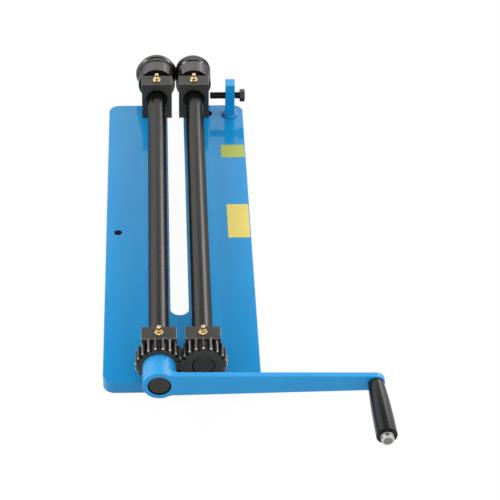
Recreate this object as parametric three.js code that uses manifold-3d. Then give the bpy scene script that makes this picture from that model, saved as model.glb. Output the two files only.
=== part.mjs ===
// A bench bead roller: two parallel shafts on a slotted base plate, geared together at the near end,
// turned by a crank, and carrying a pair of bead dies over the far end of the plate.
// Lengths are in millimetres, angles in degrees. X runs across the shafts, Y along them to the dies, Z up.
// The origin is on the plate's underside, midway between the shafts and under the near bearing blocks.
import * as THREE from "three";
import { mergeVertices, toCreasedNormals } from "three/addons/utils/BufferGeometryUtils.js";
import Module from "manifold-3d";

// Shafts and gears
const shaftDiameter = 24;
const shaftChamfer = 1;
const axisHeight = 31.5; // shaft axis above the top of the plate
const gearTeeth = 20;
const gearModule = 2.5;
const gearWidth = 20;
const gearBacklash = 0.5;
const gearRimChamfer = 1.2;
const pressureAngle = 20;
const keyWidth = 6;
const keyHeight = 6;
const keySeatDepth = 3.5; // how deep a key sits in its shaft
const gearKeyLength = 15;
const dieKeyLength = 25;

// Base plate
const plateLength = 554;
const plateWidth = 182;
const plateThickness = 17;
const plateShift = 1; // the plate's middle lies this far to the driven side of the shafts' middle
const plateCornerRadius = 14;
const plateEdgeRadius = 1.2;
const nearBlockSetback = 22.6; // near block centres from the near edge
const farBlockSetback = 19.9; // far block centres from the far edge
const throatWidth = 22;
const throatStart = 116.3; // near end of the throat slot from the near edge
const throatMouthRadius = 2;
const benchHoleDiameter = 9.8;
const benchHoleFromNear = 275;
const benchHoleFromSide = 15;
const adjustSlotWidth = 12.9;
const adjustSlotOutward = 24.6; // outer end of the slot from the far driven block's centre
const adjustSlotInward = 9; // inner end of the slot from the same centre

// Bearing blocks, bushes and grease nipples
const blockGap = 9.7; // between neighbouring blocks
const blockDepth = 21;
const blockHeight = 55;
const blockEdgeBreak = 0.5;
const bushWall = 2;
const bushInset = 2; // how far a bush ends inside its block
const nippleStemDiameter = 6;
const nippleStemShare = 0.58; // of the block's wall over its bore
const nippleHexAcross = 9.8;
const nippleHexHeight = 3;
const nippleBallDiameter = 5.6;
const nippleHeight = 10.8;
const greasePassage = 3;

// Block bolts, driven from below, with washers in recesses of the plate
const blockBoltDiameter = 10;
const blockBoltReachShare = 0.76; // of the block's wall under its bore
const blockBoltHeadDiameter = 17.5;
const blockBoltHeadHeight = 5.5;
const blockBoltSocket = 6;
const blockWasherDiameter = 20;
const blockWasherThickness = 2;
const recessSpare = 1.2; // room round a washer in its recess

// Dies, spacers and their end bolts
const dieLength = 37.5;
const dieStandoff = 12.4; // die face from the far block's face
const dieGap = 1.3; // between the cylindrical parts of the two dies
const dieDifference = 1; // by which the bead die is larger in diameter
const dieEdgeBreak = 0.6;
const beadPlace = 27.4; // middle of the bead from the die's near face
const beadHeight = 3.5;
const beadHalfWidth = 4;
const grooveDepth = 4;
const grooveHalfWidth = 5;
const spacerDiameter = 32;
const endWasherDiameter = 34;
const endWasherThickness = 4;
const endBoltDiameter = 10;
const endBoltReach = 22;
const endBoltHeadAcross = 16;
const endBoltHeadHeight = 6.4;

// Crank and grip
const crankRadius = 242.8;
const hubDiameter = 38.2;
const hubLength = 32.4;
const hubEdgeRadius = 1.2;
const hubBoreChamfer = 1.6;
const hubRecess = 1.2; // how far the drive shaft ends inside the hub
const hubFilletRadius = 6;
const armThickness = 7.5;
const armRootHeight = 30; // height of the arm's flanks, drawn back to the hub's axis
const armTipHeight = 20.9;
const armBlendRadius = 10; // concave, between the hub's eye and the arm's flanks
const armEdgeRadius = 0.8;
const grubDiameter = 8;
const grubFlatDepth = 0.8;
const gripTilt = 2.85; // outward lean of the grip's axis
const gripLength = 80.4;
const gripRootDiameter = 18.6;
const gripEndDiameter = 23.8;
const gripEndChamfer = 0.8;
const gripWasherDiameter = 18.8;
const gripWasherThickness = 1.9;
const spindleDiameter = 10;
const spindleHeadDiameter = 14.6;
const spindleHeadLength = 7.8;
const spindleHeadChamfer = 2.2; // across the end face
const spindleHeadBevel = 1.2; // the same chamfer, along the spindle
const spindleGroove = 0.6;

// Adjuster
const postWidth = 12.6;
const postDepth = 17;
const postHeight = 52.5;
const postEdgeRadius = 1;
const postFromSide = 18.2; // post's middle from the plate's driven side edge
const postLead = 2.7; // post's middle nearer than the far block's centre
const postFootDiameter = 22.8;
const postFootHeight = 4.2;
const adjusterDiameter = 10;
const adjusterHeadAcross = 15;
const adjusterHeadHeight = 7;
const adjusterTipGap = 1.8; // from the far driven block at rest
const adjusterHeadStandoff = 6.85; // from the post's outer face
const adjusterHeadTurn = 48; // from a corner that points to the crank

// Clearances, overrun and roundness
const runningClearance = 0.1; // radial, between a turning shaft and its bush
const fitClearance = 0.05; // radial or per side, between pieces fixed to each other
const turnedClearance = 0.3; // round pieces that stand at an angle
const sideGap = 0.3; // end play between neighbours along a shaft
const boltClearance = 0.5; // radial, round a bolt in the plate
const overrun = 5; // how far a cutting shape runs past what it cuts
const weldDistance = 1e-4;
const roundSides = 32;
const smallSides = 16;
const hexSides = 6;
const slotEndSteps = 6;

// Places worked out from the sizes above
const shaftRadius = shaftDiameter / 2;
const centreDistance = gearModule * gearTeeth;
const driveX = -centreDistance / 2;
const drivenX = centreDistance / 2;
const axisZ = plateThickness + axisHeight;
const plateNearY = -nearBlockSetback;
const plateFarY = plateNearY + plateLength;
const farBlockY = plateFarY - farBlockSetback;
const plateLeftX = plateShift - plateWidth / 2;
const plateRightX = plateShift + plateWidth / 2;
const blockWidth = centreDistance - blockGap;
const bushBoreRadius = shaftRadius + runningClearance;
const blockBoreRadius = bushBoreRadius + bushWall;
const fixedBoreRadius = shaftRadius + fitClearance;
const nippleStemLength = nippleStemShare * (blockHeight - axisHeight - blockBoreRadius);
const blockBoltReach = blockBoltReachShare * (axisHeight - blockBoreRadius);
const gearFarY = -blockDepth / 2 - sideGap;
const gearNearY = gearFarY - gearWidth;
const hubInnerY = gearNearY - sideGap;
const hubOuterY = hubInnerY - hubLength;
const spacerNearY = farBlockY + blockDepth / 2 + sideGap;
const dieNearY = farBlockY + blockDepth / 2 + dieStandoff;
const dieFarY = dieNearY + dieLength;
const driveShaftNearY = hubOuterY + hubRecess;
const drivenShaftNearY = gearNearY - sideGap;
const shaftFarY = dieFarY - sideGap;
const beadDieRadius = (centreDistance - dieGap + dieDifference) / 2;
const grooveDieRadius = centreDistance - dieGap - beadDieRadius;
const recessRadius = blockWasherDiameter / 2 + recessSpare;
const recessDepth = blockBoltHeadHeight + blockWasherThickness + sideGap;
const postX = plateRightX - postFromSide;
const postY = farBlockY - postLead;
const adjusterTipX = drivenX + blockWidth / 2 + adjusterTipGap;
const adjusterLength = postX + postWidth / 2 + adjusterHeadStandoff - adjusterTipX;

const wasm = await Module();
wasm.setup();

// Solids and geometries

function toSolid(geometry) {
  const bare = geometry.clone();
  bare.deleteAttribute("normal");
  bare.deleteAttribute("uv");
  const merged = mergeVertices(bare, weldDistance);
  const mesh = new wasm.Mesh({
    numProp: 3,
    vertProperties: merged.attributes.position.array,
    triVerts: new Uint32Array(merged.index.array),
  });
  return new wasm.Manifold(mesh);
}

function toGeometry(solid) {
  const mesh = solid.getMesh();
  const geometry = new THREE.BufferGeometry();
  geometry.setAttribute("position", new THREE.BufferAttribute(mesh.vertProperties, mesh.numProp));
  geometry.setIndex(new THREE.BufferAttribute(mesh.triVerts, 1));
  return geometry;
}

function join(first, ...others) {
  return toGeometry(others.reduce((sum, next) => sum.add(toSolid(next)), toSolid(first)));
}

function cut(first, ...tools) {
  return toGeometry(tools.reduce((rest, tool) => rest.subtract(toSolid(tool)), toSolid(first)));
}

function common(first, second) {
  return toGeometry(toSolid(first).intersect(toSolid(second)));
}

// Basic forms

// Points on an arc about (cx, cy), from one angle to another in degrees.
function arcPoints(cx, cy, radius, from, to, steps) {
  const points = [];
  for (let step = 0; step <= steps; step += 1) {
    const angle = THREE.MathUtils.degToRad(from + ((to - from) * step) / steps);
    points.push([cx + radius * Math.cos(angle), cy + radius * Math.sin(angle)]);
  }
  return points;
}

// Revolves a profile of [radius, height] points about Y. The outer wall runs upwards.
function revolve(profile, sides = roundSides) {
  return new THREE.LatheGeometry(profile.map(([r, y]) => new THREE.Vector2(r, y)), sides);
}

function barProfile(radius, from, to) {
  return [[0, from], [radius, from], [radius, to], [0, to]];
}

function ringProfile(inner, outer, from, to) {
  return [[inner, from], [outer, from], [outer, to], [inner, to], [inner, from]];
}

// Turns a shape that was made about Y to stand along Z, or to lie along X.
function alongZ(geometry) {
  return geometry.rotateX(Math.PI / 2);
}

function alongX(geometry) {
  return geometry.rotateZ(-Math.PI / 2);
}

function shapeOf(points) {
  return new THREE.Shape(points.map(([x, y]) => new THREE.Vector2(x, y)));
}

// Extrudes an outline along Z, with its edges rounded or chamfered inside the given height.
function extrudeUp(shape, height, edge = 0, edgeSteps = 1) {
  const geometry = new THREE.ExtrudeGeometry(shape, {
    depth: height - 2 * edge,
    bevelEnabled: edge > 0,
    bevelThickness: edge,
    bevelSize: edge,
    bevelOffset: -edge,
    bevelSegments: edgeSteps,
  });
  return geometry.translate(0, 0, edge);
}

// Extrudes an outline drawn in X and Z along Y, from Y = 0.
function extrudeBack(shape, depth, edge = 0, edgeSteps = 1) {
  return extrudeUp(shape, depth, edge, edgeSteps).rotateX(Math.PI / 2).translate(0, depth, 0);
}

// A flat bar with round ends along Y, standing from z = 0.
function stadium(width, length, height) {
  const reach = (length - width) / 2;
  const points = [
    ...arcPoints(0, reach, width / 2, 0, 180, slotEndSteps),
    ...arcPoints(0, -reach, width / 2, 180, 360, slotEndSteps),
  ];
  return extrudeUp(shapeOf(points), height);
}

// Base plate

function plateOutline() {
  const r = plateCornerRadius;
  const m = throatMouthRadius;
  const half = throatWidth / 2;
  const throatEndY = plateNearY + throatStart + half;
  return [
    ...arcPoints(plateLeftX + r, plateNearY + r, r, 180, 270, 6),
    ...arcPoints(plateRightX - r, plateNearY + r, r, 270, 360, 6),
    ...arcPoints(plateRightX - r, plateFarY - r, r, 0, 90, 6),
    ...arcPoints(half + m, plateFarY - m, m, 90, 180, 3),
    ...arcPoints(0, throatEndY, half, 0, -180, 12),
    ...arcPoints(-half - m, plateFarY - m, m, 0, 90, 3),
    ...arcPoints(plateLeftX + r, plateFarY - r, r, 90, 180, 6),
  ];
}

function blockBoltHole(x, y) {
  const hole = revolve([
    [0, -overrun],
    [recessRadius, -overrun],
    [recessRadius, recessDepth],
    [blockBoltDiameter / 2 + boltClearance, recessDepth],
    [blockBoltDiameter / 2 + boltClearance, plateThickness + overrun],
    [0, plateThickness + overrun],
  ], smallSides);
  return alongZ(hole).translate(x, y, 0);
}

// A level slot along X between two end points, standing from one height to another.
function slotAcross(fromX, toX, y, width, from, to) {
  const slot = stadium(width, toX - fromX, to - from);
  return slot.rotateZ(Math.PI / 2).translate((fromX + toX) / 2, y, from);
}

// The slot in which the far driven block's bolt travels, with the recess for its washer.
function adjustSlot() {
  const inner = drivenX - adjustSlotInward;
  const outer = drivenX + adjustSlotOutward;
  const ledge = recessRadius - adjustSlotWidth / 2;
  const recessInner = drivenX - recessRadius - recessSpare / 2;
  const recess = slotAcross(recessInner, outer + ledge, farBlockY, 2 * recessRadius, -overrun, recessDepth);
  const slot = slotAcross(inner, outer, farBlockY, adjustSlotWidth, 0, plateThickness + overrun);
  return join(recess, slot);
}

function basePlate() {
  const blank = extrudeUp(shapeOf(plateOutline()), plateThickness, plateEdgeRadius, 2);
  const benchHole = alongZ(revolve(
    barProfile(benchHoleDiameter / 2, -overrun, plateThickness + overrun), smallSides,
  )).translate(plateLeftX + benchHoleFromSide, plateNearY + benchHoleFromNear, 0);
  return cut(
    blank,
    benchHole,
    blockBoltHole(driveX, 0),
    blockBoltHole(drivenX, 0),
    blockBoltHole(driveX, farBlockY),
    adjustSlot(),
  );
}

// Bearing block, standing on z = 0 with its bore at the axis height

function bearingBlock() {
  const side = blockWidth / 2;
  const c = blockEdgeBreak;
  const outline = [
    [-side, 0],
    [side, 0],
    [side, blockHeight - c],
    [side - c, blockHeight],
    [c - side, blockHeight],
    [-side, blockHeight - c],
  ];
  const body = extrudeBack(shapeOf(outline), blockDepth, c).translate(0, -blockDepth / 2, 0);
  const bore = revolve(barProfile(blockBoreRadius, -blockDepth, blockDepth));
  bore.translate(0, 0, axisHeight);
  const nippleSeat = revolve([
    [0, axisHeight],
    [greasePassage / 2, axisHeight],
    [greasePassage / 2, blockHeight - nippleStemLength - fitClearance],
    [nippleStemDiameter / 2, blockHeight - nippleStemLength - fitClearance],
    [nippleStemDiameter / 2, blockHeight + overrun],
    [0, blockHeight + overrun],
  ], smallSides / 2);
  const boltHole = revolve(
    barProfile(blockBoltDiameter / 2, -overrun, blockBoltReach + sideGap), smallSides,
  );
  return cut(body, bore, alongZ(nippleSeat), alongZ(boltHole));
}

function bush() {
  const half = blockDepth / 2 - bushInset;
  const sleeve = revolve(ringProfile(bushBoreRadius, blockBoreRadius - fitClearance, -half, half));
  const passage = revolve(
    barProfile(greasePassage / 2, 0, blockBoreRadius + overrun), smallSides / 2,
  );
  return cut(sleeve, alongZ(passage));
}

// Grease nipple, seated on z = 0
function greaseNipple() {
  const ball = nippleBallDiameter / 2;
  const ballMiddle = nippleHeight - ball * 0.95;
  const neck = ball * 0.6;
  const stemRadius = nippleStemDiameter / 2 - fitClearance;
  const body = revolve([
    [0, -nippleStemLength],
    [stemRadius, -nippleStemLength],
    [stemRadius, 0],
    [nippleHexAcross / 2, 0],
    [nippleHexAcross / 2, nippleHexHeight * 0.8],
    [neck, ballMiddle - ball * 0.8],
    ...arcPoints(0, ballMiddle, ball, -50, 60, 4),
    [0, nippleHeight],
  ], smallSides / 2);
  const hexRadius = nippleHexAcross / Math.sqrt(3);
  const hex = revolve(barProfile(hexRadius, 0, nippleHexHeight * 0.8), hexSides);
  return alongZ(join(body, hex));
}

// Bolts, made about Y: shank from y = 0 to +length, head below it

function hexBolt(diameter, length, across, headHeight) {
  const radius = diameter / 2 - fitClearance;
  const chamfer = diameter / 10;
  const corner = across / Math.sqrt(3);
  const flank = across / 2;
  const shank = revolve([
    [0, -headHeight / 2],
    [radius, -headHeight / 2],
    [radius, length - chamfer],
    [radius - chamfer, length],
    [0, length],
  ], smallSides);
  const prism = revolve(barProfile(corner, -headHeight, 0), hexSides);
  const crown = revolve([
    [0, -headHeight],
    [flank - chamfer / 2, -headHeight],
    [corner + chamfer, chamfer - headHeight],
    [corner + chamfer, 0],
    [0, 0],
  ], smallSides);
  return join(common(prism, crown), shank);
}

// The washer lies on the recess's floor and the head hangs below it.
function blockBolt() {
  const radius = blockBoltDiameter / 2 - fitClearance;
  const head = blockBoltHeadDiameter / 2;
  const seat = recessDepth - blockWasherThickness;
  const bottom = seat - blockBoltHeadHeight;
  const bolt = revolve([
    [0, bottom],
    [head * 0.62, bottom],
    [head * 0.9, bottom + blockBoltHeadHeight * 0.45],
    [head, seat - blockBoltHeadHeight * 0.15],
    [head, seat],
    [radius, seat],
    [radius, plateThickness + blockBoltReach],
    [0, plateThickness + blockBoltReach],
  ], smallSides);
  const corner = blockBoltSocket / Math.sqrt(3);
  const socket = revolve(barProfile(corner, bottom - overrun, bottom + blockBoltHeadHeight / 2), hexSides);
  return alongZ(cut(bolt, socket));
}

function blockWasher() {
  const top = recessDepth;
  const inner = blockBoltDiameter / 2 + boltClearance / 2;
  const washer = revolve(
    ringProfile(inner, blockWasherDiameter / 2, top - blockWasherThickness, top), smallSides,
  );
  return alongZ(washer);
}

// Shafts, made about Y

// A key lies below the axis, half in the shaft and half in what it drives.
function keySolid(length) {
  const key = stadium(keyWidth - 2 * fitClearance, length, keyHeight);
  return key.translate(0, 0, keySeatDepth - shaftRadius - keyHeight);
}

function keySeat(length, y) {
  const depth = keySeatDepth + fitClearance;
  const seat = stadium(keyWidth, length + 2 * fitClearance, depth + overrun);
  return seat.translate(0, y, -shaftRadius - overrun);
}

// The slot that a key needs through the bore of a gear or a die.
function keyWay(from, to) {
  const side = keyWidth / 2;
  const drop = shaftRadius - keySeatDepth + keyHeight + fitClearance;
  const outline = [[-side, -drop], [side, -drop], [side, 0], [-side, 0]];
  const length = to - from + 2 * overrun;
  return extrudeBack(shapeOf(outline), length).translate(0, from - overrun, 0);
}

const gearMiddleY = (gearNearY + gearFarY) / 2;
const dieMiddleY = (dieNearY + dieFarY) / 2;

function shaft(nearY) {
  const c = shaftChamfer;
  const bar = revolve([
    [0, nearY],
    [shaftRadius - c, nearY],
    [shaftRadius, nearY + c],
    [shaftRadius, shaftFarY - c],
    [shaftRadius - c, shaftFarY],
    [0, shaftFarY],
  ]);
  const endHoleFloor = dieFarY + endWasherThickness - endBoltReach - sideGap;
  const endHole = revolve(
    barProfile(endBoltDiameter / 2, endHoleFloor, shaftFarY + overrun), smallSides,
  );
  return cut(bar, keySeat(gearKeyLength, gearMiddleY), keySeat(dieKeyLength, dieMiddleY), endHole);
}

const grubY = (hubInnerY + hubOuterY + armThickness) / 2;
const grubReach = shaftRadius - grubFlatDepth;

function driveShaft() {
  const side = grubDiameter / 2 + grubFlatDepth;
  const flat = extrudeUp(
    shapeOf([[-shaftRadius, -side], [shaftRadius, -side], [shaftRadius, side], [-shaftRadius, side]]),
    overrun,
  ).translate(0, grubY, -grubReach - overrun);
  return cut(shaft(driveShaftNearY), flat);
}

// Gears

const pitchRadius = centreDistance / 2;
const tipRadius = pitchRadius + gearModule;
const rootRadius = pitchRadius - 1.25 * gearModule;
const baseRadius = pitchRadius * Math.cos(THREE.MathUtils.degToRad(pressureAngle));

// How far round an involute has rolled at a given radius.
function involute(radius) {
  const pressure = Math.acos(Math.min(1, baseRadius / radius));
  return Math.tan(pressure) - pressure;
}

// Half the angle that a tooth fills at a given radius.
function toothHalfAngle(radius) {
  const atPitch = Math.PI / (2 * gearTeeth) - gearBacklash / (4 * pitchRadius);
  return atPitch + involute(pitchRadius) - involute(Math.max(radius, baseRadius));
}

// One tooth in polar steps, from the root on one side to the root on the other.
function toothPoints(middle) {
  const flankShares = [0, 0.5, 1];
  const radii = flankShares.map((share) => baseRadius + (tipRadius - baseRadius) * share);
  const rise = [rootRadius, ...radii];
  const rightFlank = rise.map((r) => [r, middle - toothHalfAngle(r)]);
  const leftFlank = rise.map((r) => [r, middle + toothHalfAngle(r)]).reverse();
  return [...rightFlank, ...leftFlank].map(([r, a]) => [r * Math.cos(a), r * Math.sin(a)]);
}

// A turned blank, chamfered at rim and bore, with the teeth left standing between the gaps.
function gear(toothAtTop) {
  const pitch = (2 * Math.PI) / gearTeeth;
  const start = Math.PI / 2 + (toothAtTop ? 0 : pitch / 2);
  const outline = [];
  for (let tooth = 0; tooth < gearTeeth; tooth += 1) {
    outline.push(...toothPoints(start + tooth * pitch));
  }
  const c = gearRimChamfer;
  const boreChamfer = shaftChamfer + fitClearance;
  const blank = revolve([
    [fixedBoreRadius + boreChamfer, gearNearY],
    [tipRadius - c, gearNearY],
    [tipRadius + c, gearNearY + c],
    [tipRadius + c, gearFarY - c],
    [tipRadius - c, gearFarY],
    [fixedBoreRadius + boreChamfer, gearFarY],
    [fixedBoreRadius, gearFarY - boreChamfer],
    [fixedBoreRadius, gearNearY + boreChamfer],
    [fixedBoreRadius + boreChamfer, gearNearY],
  ]);
  const teeth = extrudeBack(shapeOf(outline), gearWidth + 2 * overrun);
  teeth.translate(0, gearNearY - overrun, 0);
  return cut(common(teeth, blank), keyWay(gearNearY, gearFarY));
}

// Dies, spacers and end washers, made about Y

// The rolled form between two edges of a die: a bead that stands up, or a groove that sinks in.
function formPoints(dieRadius, halfWidth, height, steps) {
  const radius = (halfWidth ** 2 + height ** 2) / (2 * Math.abs(height));
  const spread = Math.asin(halfWidth / radius);
  const sign = Math.sign(height);
  const points = [];
  for (let step = 0; step <= steps; step += 1) {
    const angle = spread * ((2 * step) / steps - 1);
    const rise = radius * (Math.cos(angle) - Math.cos(spread));
    points.push([dieRadius + sign * rise, dieNearY + beadPlace + radius * Math.sin(angle)]);
  }
  return points;
}

function die(dieRadius, halfWidth, height) {
  const c = dieEdgeBreak;
  const profile = [
    [fixedBoreRadius, dieNearY],
    [dieRadius - c, dieNearY],
    [dieRadius, dieNearY + c],
    ...formPoints(dieRadius, halfWidth, height, 6),
    [dieRadius, dieFarY - c],
    [dieRadius - c, dieFarY],
    [fixedBoreRadius, dieFarY],
    [fixedBoreRadius, dieNearY],
  ];
  return cut(revolve(profile), keyWay(dieNearY, dieFarY));
}

function spacer() {
  return revolve(ringProfile(fixedBoreRadius, spacerDiameter / 2, spacerNearY, dieNearY));
}

function endWasher() {
  const inner = endBoltDiameter / 2 + boltClearance / 2;
  const far = dieFarY + endWasherThickness;
  return revolve(ringProfile(inner, endWasherDiameter / 2, dieFarY, far), smallSides);
}

function endBolt() {
  const bolt = hexBolt(endBoltDiameter, endBoltReach, endBoltHeadAcross, endBoltHeadHeight);
  return bolt.rotateX(Math.PI).translate(0, dieFarY + endWasherThickness, 0);
}

// Crank

// The arm seen along the shaft: an eye inside the hub, concave blends, flanks that taper, a round tip.
function armOutline() {
  const hub = hubDiameter / 2;
  const blend = armBlendRadius;
  const slope = (armRootHeight - armTipHeight) / 2 / crankRadius;
  const steep = Math.hypot(1, slope);
  const rise = armRootHeight / 2 + blend * steep;
  const spread = steep ** 2 * (hub + blend) ** 2 - rise ** 2;
  const blendX = (slope * rise + Math.sqrt(spread)) / steep ** 2;
  const blendZ = rise - slope * blendX;
  const eyeAngle = THREE.MathUtils.radToDeg(Math.atan2(blendZ, blendX));
  const flankAngle = -90 - THREE.MathUtils.radToDeg(Math.atan(slope));
  const upper = arcPoints(blendX, blendZ, blend, flankAngle, eyeAngle - 180, 5);
  const lower = upper.map(([x, z]) => [x, -z]).reverse();
  return [
    ...upper,
    ...arcPoints(0, 0, hub * 0.85, eyeAngle, 360 - eyeAngle, 6),
    ...lower,
    ...arcPoints(crankRadius, 0, armTipHeight / 2, -90, 90, 8),
  ];
}

// The concave fillet from the hub's barrel out to the arm, kept inside the arm's outline.
function hubFillet() {
  const r = hubFilletRadius;
  const root = hubOuterY + armThickness;
  const inner = hubDiameter / 2 - armEdgeRadius;
  const ring = revolve([
    [inner, root - armEdgeRadius * 2],
    [hubDiameter / 2 + r, root - armEdgeRadius * 2],
    ...arcPoints(hubDiameter / 2 + r, root + r, r, 270, 180, 5),
    [inner, root + r],
    [inner, root - armEdgeRadius * 2],
  ]);
  const prism = extrudeBack(shapeOf(armOutline()), armThickness + 2 * r, armEdgeRadius);
  return common(ring, prism.translate(0, hubOuterY, 0));
}

function crank() {
  const e = hubEdgeRadius;
  const barrelRadius = hubDiameter / 2;
  const barrel = revolve([
    [0, hubOuterY],
    ...arcPoints(barrelRadius - e, hubOuterY + e, e, -90, 0, 3),
    [barrelRadius, hubInnerY - e / 2],
    [barrelRadius - e / 2, hubInnerY],
    [0, hubInnerY],
  ]);
  const arm = extrudeBack(shapeOf(armOutline()), armThickness, armEdgeRadius);
  const bore = revolve([
    [0, hubOuterY - overrun],
    [fixedBoreRadius + hubBoreChamfer + overrun, hubOuterY - overrun],
    [fixedBoreRadius, hubOuterY + hubBoreChamfer],
    [fixedBoreRadius, hubInnerY + overrun],
    [0, hubInnerY + overrun],
  ]);
  const grubHole = alongZ(revolve(
    barProfile(grubDiameter / 2, -barrelRadius - overrun, 0), smallSides / 2,
  )).translate(0, grubY, 0);
  const spindleHole = revolve(
    barProfile(spindleDiameter / 2 + turnedClearance, -armThickness - overrun, armThickness + overrun),
    smallSides,
  );
  spindleHole.rotateZ(THREE.MathUtils.degToRad(gripTilt));
  spindleHole.translate(crankRadius, hubOuterY, 0);
  const body = join(barrel, arm.translate(0, hubOuterY, 0), hubFillet());
  return cut(body, bore, grubHole, spindleHole);
}

function crankGrub() {
  const outer = hubDiameter / 2 - hubEdgeRadius;
  const radius = grubDiameter / 2 - fitClearance;
  const screw = revolve(barProfile(radius, -outer, -grubReach - fitClearance), smallSides / 2);
  const corner = grubDiameter / 4;
  const socket = revolve(barProfile(corner, -outer - overrun, -(outer + grubReach) / 2), hexSides);
  return alongZ(cut(screw, socket)).translate(0, grubY, 0);
}

// Grip pieces, made along -Y from the arm's outer face at y = 0

const gripLean = (gripWasherDiameter / 2) * Math.sin(THREE.MathUtils.degToRad(gripTilt));
const gripSeat = -turnedClearance - gripLean; // clear of the arm at the washer's low side
const gripStart = gripSeat - gripWasherThickness - sideGap;
const gripEnd = gripStart - gripLength;
const headStart = gripEnd - sideGap;

// The grip swells quickly from its root and then slowly to its outer end.
function gripRadius(share) {
  const root = gripRootDiameter / 2;
  return root + (gripEndDiameter / 2 - root) * (1 - (1 - share) ** 3);
}

function grip() {
  const c = gripEndChamfer;
  const bore = spindleDiameter / 2 + runningClearance * 2;
  const swelling = [0.55, 0.3, 0.13].map((share) => [gripRadius(share), gripStart - gripLength * share]);
  return revolve([
    [bore, gripEnd],
    [gripRadius(1) - c, gripEnd],
    [gripRadius(1), gripEnd + c],
    ...swelling,
    [gripRadius(0), gripStart - c / 2],
    [gripRadius(0) - c / 2, gripStart],
    [bore, gripStart],
    [bore, gripEnd],
  ]);
}

function gripWasher() {
  const inner = spindleDiameter / 2 + fitClearance;
  const from = gripSeat - gripWasherThickness;
  return revolve(ringProfile(inner, gripWasherDiameter / 2, from, gripSeat), smallSides);
}

// A shouldered spindle: threaded into the arm, plain in the grip, with a grooved and chamfered head.
function gripSpindle() {
  const radius = spindleDiameter / 2;
  const head = spindleHeadDiameter / 2;
  const end = headStart - spindleHeadLength;
  const g = spindleGroove;
  return revolve([
    [0, end],
    [head - spindleHeadChamfer, end],
    [head, end + spindleHeadBevel],
    [head, headStart - 4 * g],
    [head - g, headStart - 3.5 * g],
    [head - g, headStart - 2.5 * g],
    [head, headStart - 2 * g],
    [head, headStart],
    [radius, headStart],
    [radius, armThickness - turnedClearance],
    [0, armThickness - turnedClearance],
  ], smallSides);
}

// Adjuster

// A square post with a run of weld round its foot, standing on z = 0.
function adjusterPost() {
  const side = postWidth / 2;
  const back = postDepth / 2;
  const outline = [[-side, -back], [side, -back], [side, back], [-side, back]];
  const bar = extrudeUp(shapeOf(outline), postHeight, postEdgeRadius, 2);
  const foot = alongZ(revolve([
    [0, 0],
    [postFootDiameter / 2, 0],
    ...arcPoints(postFootDiameter / 2 - postFootHeight, 0, postFootHeight, 20, 90, 3),
    [0, postFootHeight],
  ], smallSides));
  const thread = alongX(revolve(
    barProfile(adjusterDiameter / 2 + runningClearance, -postWidth, postWidth), smallSides,
  ));
  return cut(join(bar, foot), thread.translate(0, 0, axisHeight));
}

function adjustingScrew() {
  const screw = hexBolt(adjusterDiameter, adjusterLength, adjusterHeadAcross, adjusterHeadHeight);
  screw.rotateY(Math.PI / hexSides + THREE.MathUtils.degToRad(adjusterHeadTurn));
  return alongX(screw).rotateZ(Math.PI);
}

// Materials

function painted(color, roughness) {
  return new THREE.MeshStandardMaterial({ color, roughness, metalness: 0.1 });
}

function metal(color, roughness) {
  return new THREE.MeshStandardMaterial({ color, roughness, metalness: 0.9 });
}

const plateBlue = () => painted(0x1f7fc4, 0.35);
const crankBlue = () => painted(0x2a8fdc, 0.3);
const blackenedSteel = () => metal(0x3a3a3a, 0.45);
const darkGearSteel = () => metal(0x303030, 0.5);
const oiledShaftSteel = () => metal(0x4a4a48, 0.3);
const bronze = () => metal(0xa8803c, 0.4);
const brass = () => metal(0xd8b060, 0.25);
const blackScrewSteel = () => metal(0x1c1c1c, 0.5);
const brightSteel = () => metal(0xb8b8b8, 0.25);
const blackPlastic = () => painted(0x2b2b2b, 0.5);

// Assembly

const beadRoller = new THREE.Group();

function piece(name, geometry, material, x = 0, y = 0, z = 0) {
  const creased = toCreasedNormals(geometry, Math.PI / 6);
  const mesh = new THREE.Mesh(creased, material);
  mesh.name = name;
  mesh.position.set(x, y, z);
  return mesh;
}

function addBearing(name, x, y) {
  beadRoller.add(
    piece(`${name}_block`, bearingBlock(), blackenedSteel(), x, y, plateThickness),
    piece(`${name}_bush`, bush(), bronze(), x, y, axisZ),
    piece(`${name}_nipple`, greaseNipple(), brass(), x, y, plateThickness + blockHeight),
    piece(`${name}_block_bolt`, blockBolt(), blackScrewSteel(), x, y),
    piece(`${name}_block_washer`, blockWasher(), brightSteel(), x, y),
  );
}

// The pieces on one shaft, in a group whose Y axis is the shaft's own.
function addLine(name, x, shaftGeometry, toothAtTop, dieName, dieGeometry) {
  const line = new THREE.Group();
  line.position.set(x, 0, axisZ);
  line.add(
    piece(`${name}_shaft`, shaftGeometry, oiledShaftSteel()),
    piece(`${name}_gear`, gear(toothAtTop), darkGearSteel()),
    piece(`${name}_gear_key`, keySolid(gearKeyLength), brightSteel(), 0, gearMiddleY),
    piece(`${name}_spacer`, spacer(), blackenedSteel()),
    piece(dieName, dieGeometry, oiledShaftSteel()),
    piece(`${name}_die_key`, keySolid(dieKeyLength), brightSteel(), 0, dieMiddleY),
    piece(`${name}_end_washer`, endWasher(), brightSteel()),
    piece(`${name}_end_bolt`, endBolt(), blackScrewSteel()),
  );
  beadRoller.add(line);
  return line;
}

function addCrank(line) {
  const gripGroup = new THREE.Group();
  gripGroup.position.set(crankRadius, hubOuterY, 0);
  gripGroup.rotation.z = THREE.MathUtils.degToRad(gripTilt);
  gripGroup.add(
    piece("grip_spindle", gripSpindle(), brightSteel()),
    piece("grip_washer", gripWasher(), blackScrewSteel()),
    piece("grip", grip(), blackPlastic()),
  );
  line.add(
    piece("crank", crank(), crankBlue()),
    piece("crank_grub_screw", crankGrub(), blackScrewSteel()),
    gripGroup,
  );
}

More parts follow.
